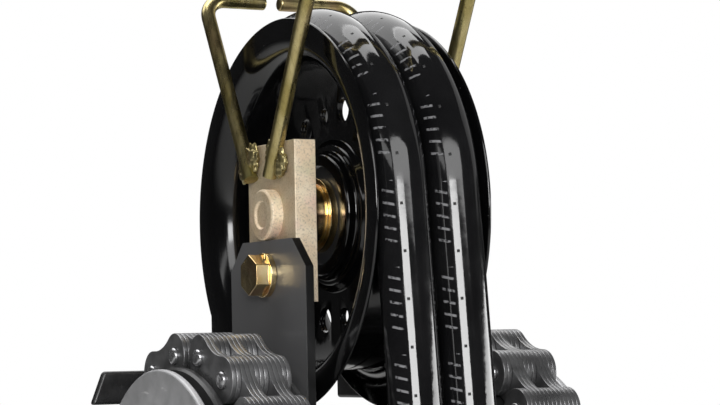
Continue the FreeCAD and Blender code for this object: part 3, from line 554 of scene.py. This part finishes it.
def make_hose(word, finish):
    points = hose_points(word)
    curve = bpy.data.curves.new(word + "_hose_line", "CURVE")
    curve.dimensions = "3D"
    spline = curve.splines.new("NURBS")
    spline.points.add(len(points) - 1)
    for target, point in zip(spline.points, points):
        target.co = (*point, 1)
    spline.order_u = 3
    spline.use_endpoint_u = True
    curve.resolution_u = 24
    curve.bevel_depth = HOSE_RADIUS
    curve.bevel_resolution = 14
    piece = new_piece(word + "_hose_cover", curve, finish, ROOT, word + "_hose")
    return piece, points


# A ferrule's outline from the hose to past its end: (height, radius, share of the crimps' depth).
FERRULE_RINGS = (
    (0.0, 9.2, 0), (0.5, 9.8, 0), (2.6, 10.0, 0), (3.4, 9.7, 1), (5.2, 9.6, 1), (6.0, 9.75, 0.6),
    (7.0, 9.6, 1), (11.6, 9.6, 1), (12.4, 9.75, 0.6), (13.4, 9.6, 1), (18.0, 9.6, 1),
    (18.8, 9.75, 0.6), (19.8, 9.6, 1), (23.6, 9.6, 1), (24.6, 9.75, 0.3), (25.6, 9.9, 0),
    (29.0, 9.9, 0), (29.7, 9.3, 0), (30.0, 7.4, 0), (37.0, 7.0, 0), (37.2, 0.01, 0),
)
FERRULE_STEPS = 96
CRIMPS = 8
CRIMP_DEPTH = 0.55           # millimetres


def ferrule_mesh(name, start, way):
    """A crimped ferrule: eight pressed flats in its middle and a rolled collar at each end."""
    steps = FERRULE_STEPS
    turn = Vector((0, 0, 1)).rotation_difference(way).to_matrix()
    corners = []
    for height, radius, press in FERRULE_RINGS:
        for step in range(steps):
            angle = 2 * math.pi * step / steps
            dent = press * CRIMP_DEPTH * abs(math.cos(CRIMPS / 2 * angle)) ** 0.6
            outwards = Vector((math.cos(angle), math.sin(angle), 0))
            spot = outwards * (radius - dent) + Vector((0, 0, height))
            corners.append(start + turn @ spot * MM)
    faces = []
    for row in range(len(FERRULE_RINGS) - 1):
        for step in range(steps):
            after = (step + 1) % steps
            low, high = row * steps, (row + 1) * steps
            faces.append((low + step, low + after, high + after, high + step))
    return smooth(mesh_of(name, corners, faces), 50)


def make_hoses(paint):
    for word, _ in SIDES:
        hose, points = make_hose(word, paint["hose"])
        ends = ((points[0], points[1]), (points[-1], points[-2]))
        ferrules = together(
            word + "_ferrules",
            [ferrule_mesh("ferrule", end, (end - inside).normalized()) for end, inside in ends],
        )
        smooth(ferrules, 50)
        ferrule_piece = new_piece(
            word + "_crimped_ferrules", ferrules, paint["bright_zinc"], ROOT,
            word + "_hose_ferrules",
        )
        nut_mesh = rounded(plain_mesh(word + "_hose_nuts"), 0.25 * MM)
        nuts = new_piece(
            word + "_union_nuts", nut_mesh, paint["bright_zinc"], ROOT,
            word + "_hose_nuts",
        )


# ---------------------------------------------------------------- hose pulley

PULLEY_SHEET = 1.15          # millimetres
# The inner face of a shell: (radius, distance from the middle), in millimetres, and its bend radii.
SHELL_PATH = (
    (16.8, 6.05),
    (20.05, 6.05),
    (20.05, 2.3),
    (23.3, 2.3),
    (25.2, 0.0),
    (52.2, 0.0),
    (52.2, 19.45),
    (66.0, 19.95),
)
SHELL_BENDS = (0.3, 2.4, 0.5, 2.6, 0.6, 8.8)
BEND_STEPS = 10
RIM_ROUND = 0.5              # how far the rounded rim stands out, in millimetres
RIM_STEPS = 8
WEB_HOLES = 8                # of each size
HOLE_TURN = 12.5             # degrees from the top towards the front
HOLE_CUT = 6 * MM            # how far the hole cutters reach to each side of the web
HOLE_KINDS = ((4.25, 36.1), (3.0, 34.8))     # radius of a hole, and of its ring


def bent_line(corners, bends):
    """A sheet's inner face as points with outward normals, bent round each inner corner."""
    line = []

    def mark(point, direction):
        line.append((point, Vector((-direction.y, direction.x))))

    flat = [Vector(corner) for corner in corners]
    mark(flat[0], (flat[1] - flat[0]).normalized())
    for before, corner, after, radius in zip(flat, flat[1:], flat[2:], bends):
        inward = (corner - before).normalized()
        outward = (after - corner).normalized()
        turn = math.atan2(inward.cross(outward), inward.dot(outward))
        first = corner - inward * radius * math.tan(abs(turn) / 2)
        hand = 1 if turn > 0 else -1
        middle = first + Vector((-inward.y, inward.x)) * radius * hand
        for step in range(BEND_STEPS + 1):
            angle = turn * step / BEND_STEPS
            direction = Matrix.Rotation(angle, 2) @ inward
            spot = middle - Vector((-direction.y, direction.x)) * radius * hand
            mark(spot, direction)
    mark(flat[-1], (flat[-1] - flat[-2]).normalized())
    return line


def shell_mesh(word, side):
    """One pressed half of the pulley, with a rounded rim and its web holes cut."""
    line = bent_line(SHELL_PATH, SHELL_BENDS)
    thick = PULLEY_SHEET
    inner = [point for point, _ in line]
    outer = [point + normal * thick for point, normal in line]
    tip, normal = line[-1]
    forward = Vector((normal.y, -normal.x))
    rim = []
    for step in range(1, RIM_STEPS):
        angle = math.pi * step / RIM_STEPS
        across = normal * thick / 2 * (1 - math.cos(angle))
        rim.append(tip + across + forward * RIM_ROUND * (math.sin(angle) - 1))
    inner[-1] = tip - forward * RIM_ROUND
    outer[-1] = tip + normal * thick - forward * RIM_ROUND
    profile = [(point.x * MM, side * point.y * MM) for point in inner + rim + outer[::-1]]
    ring = facing_out(turned(f"shell_{word}", profile, PULLEY, 240))
    cutters = []
    for index in range(2 * WEB_HOLES):
        angle = math.radians(HOLE_TURN + index * 180 / WEB_HOLES)
        radius, circle = HOLE_KINDS[index % 2]
        spot = PULLEY + Vector((math.sin(angle), 0, math.cos(angle))) * circle * MM
        reach = Vector((0, HOLE_CUT, 0))
        cutters.append(rod_mesh(spot - reach, spot + reach, radius * MM, 40))
    cutter = bpy.data.objects.new("cutter", facing_out(together("web_holes", cutters)))
    bpy.context.scene.collection.objects.link(cutter)
    cutter_data = {"operation": "DIFFERENCE", "solver": "EXACT", "object": cutter}
    cut = baked(ring, ("BOOLEAN", cutter_data))
    bpy.data.objects.remove(cutter)
    edges = {
        "width": 0.22 * MM, "segments": 3, "limit_method": "ANGLE", "angle_limit": math.radians(60),
    }
    return smooth(baked(cut, ("BEVEL", edges)), 40)


def rod_mesh(start, end, radius, steps):
    """A closed round bar between two points."""
    way = (end - start).normalized()
    turn = Vector((0, 0, 1)).rotation_difference(way).to_matrix()
    corners = []
    for centre in (start, end):
        for step in range(steps):
            angle = 2 * math.pi * step / steps
            corners.append(centre + turn @ Vector((math.cos(angle), math.sin(angle), 0)) * radius)
    faces = [tuple(range(steps))[::-1], tuple(range(steps, 2 * steps))]
    for step in range(steps):
        after = (step + 1) % steps
        faces.append((step, after, steps + after, steps + step))
    return mesh_of("rod", corners, faces)


def make_pulley(paint):
    for word, side in SIDES:
        new_piece(
            f"pressed_{word}_shell", shell_mesh(word, side), paint["gloss_black"], "hose_pulley",
            f"pulley_{word}_shell",
        )


# ---------------------------------------------------------------- chains

# A riveted pin's head: (radius, depth from its end), in millimetres.
PIN_HEAD = (
    (0.00, 0.10), (0.95, 0.06), (1.55, 0.00), (2.15, 0.10), (2.60, 0.34), (2.84, 0.70), (2.84, 0.95),
    (2.84, 1.20),
)


def pin_mesh(low, high):
    """A chain pin with a riveted, slightly domed head at each end."""
    centre = Vector(((low.x + high.x) / 2, 0, (low.z + high.z) / 2))
    profile = [(radius * MM, low.y + depth * MM) for radius, depth in PIN_HEAD]
    profile += [(radius * MM, high.y - depth * MM) for radius, depth in PIN_HEAD[::-1]]
    return facing_out(turned("pin", profile, centre, 32))


def make_chains(paint):
    for word, _ in SIDES:
        for row in ("outer", "inner"):
            node = f"{word}_chain_{row}_plates"
            mesh = rounded(plain_mesh(node), 0.25 * MM, 2)
            new_piece(f"{word}_{row}_link_plates", mesh, paint["chain"], ROOT, node)
        node = f"{word}_chain_pins"
        pins = together(f"{word}_pins", [pin_mesh(*box) for box in solids(node)])
        new_piece(f"{word}_riveted_pins", smooth(pins, 50), paint["pin"], ROOT, node)


# ---------------------------------------------------------------- welds

def weld_mesh(low, high, seed):
    """A rippled bead that fills the corner between a guide rod's foot and its strap."""
    centre = (low + high) / 2
    reach = (high - low) / 2
    shape = bmesh.new()
    bmesh.ops.create_icosphere(shape, subdivisions=5, radius=1)
    rise = 1 if high.x > low.x else -1
    for vertex in shape.verts:
        spot = vertex.co.copy()
        ripple = 1 + 0.05 * math.sin(spot.z * 16 + spot.x * 3 * rise)
        lump = 1 + 0.22 * noise.noise(spot * 2.2 + Vector((seed, 0, 0)))
        size = Vector((reach.x * 0.98, reach.y * 1.02, reach.z * 0.98))
        vertex.co = centre + Vector([spot[axis] * size[axis] * ripple * lump for axis in range(3)])
    mesh = bpy.data.meshes.new("weld")
    shape.to_mesh(mesh)
    shape.free()
    return mesh


def make_welds(paint):
    boxes = solids("hose_guide_welds")
    beads = [weld_mesh(low, high, 3.7 * index) for index, (low, high) in enumerate(boxes)]
    mesh = smooth(together("welds", beads), 60)
    new_piece("weld_beads", mesh, paint["weld"], ROOT, "hose_guide_welds")


# ---------------------------------------------------------------- the rest of the metalwork

def make_metalwork(paint):
    """CAD pieces whose sharp edges are rounded: radius in millimetres, material and slot."""
    rounding = (
        ("left_axle_strap", 0.35, "strap", "strap_zinc"),
        ("right_axle_strap", 0.35, "strap", "strap_zinc"),
        ("left_side_plate", 0.30, "plate_black", "plate_black"),
        ("right_side_plate", 0.30, "plate_black", "plate_black"),
        ("crosshead", 0.60, "forging", "plate_black"),
        ("left_chain_keeper", 1.1, "keeper", "dark_steel"),
        ("right_chain_keeper", 1.1, "keeper", "dark_steel"),
        ("side_plate_bolts", 0.22, "fastener", "fastener_zinc"),
        ("bolt_lock_washers", 0.25, "fastener", "fastener_zinc"),
        ("axle_spacers", 0.25, "fastener", "fastener_zinc"),
        ("pulley_axle", 0.20, "strap", "fastener_zinc"),
        ("chain_anchor_nuts", 0.25, "bright_zinc", "bright_zinc"),
        ("left_front_chain_anchor", 0.45, "keeper", "dark_steel"),
        ("left_rear_chain_anchor", 0.45, "keeper", "dark_steel"),
        ("right_front_chain_anchor", 0.45, "keeper", "dark_steel"),
        ("right_rear_chain_anchor", 0.45, "keeper", "dark_steel"),
        ("left_sheave_guard", 0.30, "guard", "guard_steel"),
        ("right_sheave_guard", 0.30, "guard", "guard_steel"),
        ("side_plate_screws", 0.12, "black_oxide", "black_oxide"),
    )
    for node, radius, finish, slot in rounding:
        mesh = rounded(plain_mesh(node), radius * MM)
        new_piece(node + "_body", mesh, paint[finish], ROOT, node)


def paint_frame(paint):
    """Materials of the CAD nodes that stay as they are."""
    shown = {
        "hose_guide": "rod", "chain_sheave": "sheave", "bearing_outer_ring": "bearing",
        "bearing_inner_ring": "bearing", "bearing_balls": "bearing", "bearing_cage": "cage",
        "bearing_seals": "seal", "sheave_shaft": "shaft", "sheave_spacer_rings": "shaft",
        "sheave_thrust_washers": "shaft", "shaft_circlips": "black_oxide",
        "ram_locking_screw": "black_oxide",
    }
    for name, node in frame["nodes"].items():
        for word, finish in shown.items():
            if word in name and not node.hide_render:
                node.data.materials.clear()
                node.data.materials.append(paint[finish])


def make_paint():
    """Every material, by the name that the pieces call it."""
    gold = ((0.80, 0.57, 0.24), (0.92, 0.74, 0.42), (0.84, 0.50, 0.34), (0.56, 0.56, 0.28))
    cream = ((0.84, 0.67, 0.47), (0.93, 0.80, 0.60), (0.86, 0.60, 0.50), (0.70, 0.67, 0.45))
    olive = ((0.37, 0.30, 0.11), (0.58, 0.49, 0.24), (0.48, 0.32, 0.19), (0.24, 0.27, 0.11))
    bronze = tuple(tuple(0.6 * tone for tone in colour) for colour in olive)
    silver = ((0.62, 0.64, 0.66), (0.76, 0.77, 0.78), (0.66, 0.62, 0.66), (0.60, 0.66, 0.68))
    # Painted sheen: the grey put on the side plates' faces that look left or right.
    painted_sheen_grey = (0.10, 0.10, 0.102)
    return {
        "gloss_black": black_gloss("pulley_gloss"),
        "plate_black": black_gloss("plate_gloss", 0.02 * MM, (0.34, 0.44), faces=painted_sheen_grey),
        "forging": black_gloss("forging_paint", 0.09 * MM, (0.25, 0.4), (0.012, 0.012, 0.012)),
        # The strap's faces that look left or right are darkened as painted shade.
        "strap": zinc(
            "strap_zinc", cream, (0.45, 0.65), 0.03 * MM, metal=0.25, speckle=0.6, painted_side_shade=0.6
        ),
        "rod": zinc("rod_zinc", olive, (0.22, 0.36), 0.005 * MM, (1, 1, 0.18), metal=1.0),
        "weld": zinc("weld_zinc", bronze, (0.2, 0.45), 0.05 * MM),
        "fastener": zinc("fastener_zinc", gold, (0.16, 0.28), 0.002 * MM, metal=1.0, speckle=0.12),
        "bright_zinc": zinc("bright_zinc", silver, (0.25, 0.4), 0.008 * MM),
        "chain": dark_steel("chain_steel", 0.16, 0.27, (0.26, 0.40), 0.75, lines=(1, 0.3, 1)),
        "pin": dark_steel("pin_steel", 0.34, 0.55, (0.14, 0.26)),
        "keeper": dark_steel("keeper_steel", 0.018, 0.035, (0.25, 0.38), 0.4, 0.02 * MM),
        "black_oxide": dark_steel("black_oxide", 0.02, 0.04, (0.3, 0.45), 0.5),
        "guard": dark_steel("guard_steel", 0.40, 0.50, (0.42, 0.55), 0.55, 0.012 * MM),
        "sheave": turned_steel("sheave_steel", SHEAVE, 0.05, 0.10, (0.3, 0.42), 0.7),
        "shaft": turned_steel("shaft_steel", SHEAVE, 0.35, 0.48, (0.22, 0.34)),
        "bearing": turned_steel("bearing_steel", SHEAVE, 0.5, 0.6, (0.12, 0.2), depth=0.001 * MM),
        "cage": zinc("cage_steel", silver, (0.3, 0.4), 0.004 * MM),
        "seal": black_gloss("seal_rubber", 0.02 * MM, (0.32, 0.45), (0.014, 0.015, 0.017)),
        "hose": hose_cover(),
    }


# ---------------------------------------------------------------- studio

FLOOR_GAP = 0.5 * MM         # between the lowest stud and the floor
FLOOR_Z = cad_box[0][2] - FLOOR_GAP
# Light panels: turn from the left side towards the front, rise, width and height in degrees, and
# brightness.
PANELS = (
    ("key", 65, 8.5, 27, 12, 14.0),
    ("front_box", 75, 25, 62, 21, 3.7),
    ("back_box", -88, 50, 72, 34, 2.2),
    ("top_box", -88, 79, 44, 26, 4.2),
    ("right_strip", 160, 1, 50, 9, 7.0),
    ("left_band", 16, 21, 40, 6, 2.0),
    ("right_fill", 200, 24, 60, 30, 0.35),
)
PANEL_DISTANCE = 1.3
FLOOR_COLOUR = (0.60, 0.60, 0.59)
FLOOR_GRAIN = (0.45, 0.45, 0.45)
FLOOR_REACH = 2.8
DIM_ROOM = 0.03              # how bright the room is where only the object sees it


def make_panel(name, turn, rise, width, height, brightness):
    """A soft light at an angle round the object; the camera doesn't see it."""
    light = bpy.data.lights.new(name, "AREA")
    light.shape = "RECTANGLE"
    light.size = 2 * PANEL_DISTANCE * math.tan(math.radians(width / 2))
    light.size_y = 2 * PANEL_DISTANCE * math.tan(math.radians(height / 2))
    light.energy = brightness * math.pi * light.size * light.size_y
    panel = bpy.data.objects.new(name, light)
    turn_matrix = Matrix.Rotation(math.radians(turn), 4, "Z")
    tilt_matrix = Matrix.Rotation(math.radians(90 - rise), 4, "X")
    aim = turn_matrix @ tilt_matrix
    panel.matrix_world = Matrix.Translation(PULLEY) @ aim @ Matrix.Translation((0, 0, PANEL_DISTANCE))
    panel.visible_camera = False
    bpy.context.scene.collection.objects.link(panel)


def make_room():
    """White behind the object for the camera, and nearly dark for everything else."""
    world = bpy.data.worlds.new("studio")
    world.use_nodes = True
    tree = world.node_tree
    background = tree.nodes["Background"]
    ray = tree.nodes.new("ShaderNodeLightPath")
    level = tree.nodes.new("ShaderNodeMapRange")
    level.inputs["To Min"].default_value = DIM_ROOM
    level.inputs["To Max"].default_value = 1.0
    tree.links.new(ray.outputs["Is Camera Ray"], level.inputs["Value"])
    tree.links.new(level.outputs[0], background.inputs["Strength"])
    background.inputs["Color"].default_value = (1, 1, 1, 1)
    bpy.context.scene.world = world


def make_floor():
    reach = FLOOR_REACH
    corners = [(-reach, -reach), (reach, -reach), (reach, reach), (-reach, reach)]
    corners = [(x, y, FLOOR_Z) for x, y in corners]
    floor_mesh = mesh_of("floor", corners, [(0, 1, 2, 3)])
    finish = Finish("floor_paper", base_color=FLOOR_COLOUR, roughness=0.9, specular_ior_level=0.1)
    grain = finish.noise(900, 3)
    share = finish.between(grain, 0.3, 0.7, 0, 0.04)
    finish.give(base_color=finish.blend(share, FLOOR_COLOUR, FLOOR_GRAIN))
    floor_mesh.materials.append(finish.material)
    floor = bpy.data.objects.new("floor", floor_mesh)
    bpy.context.scene.collection.objects.link(floor)


# ---------------------------------------------------------------- build

make_camera()
paint = make_paint()
make_hoses(paint)
make_pulley(paint)
make_chains(paint)
make_welds(paint)
make_metalwork(paint)
paint_frame(paint)
for panel in PANELS:
    make_panel(*panel)
make_room()
make_floor()
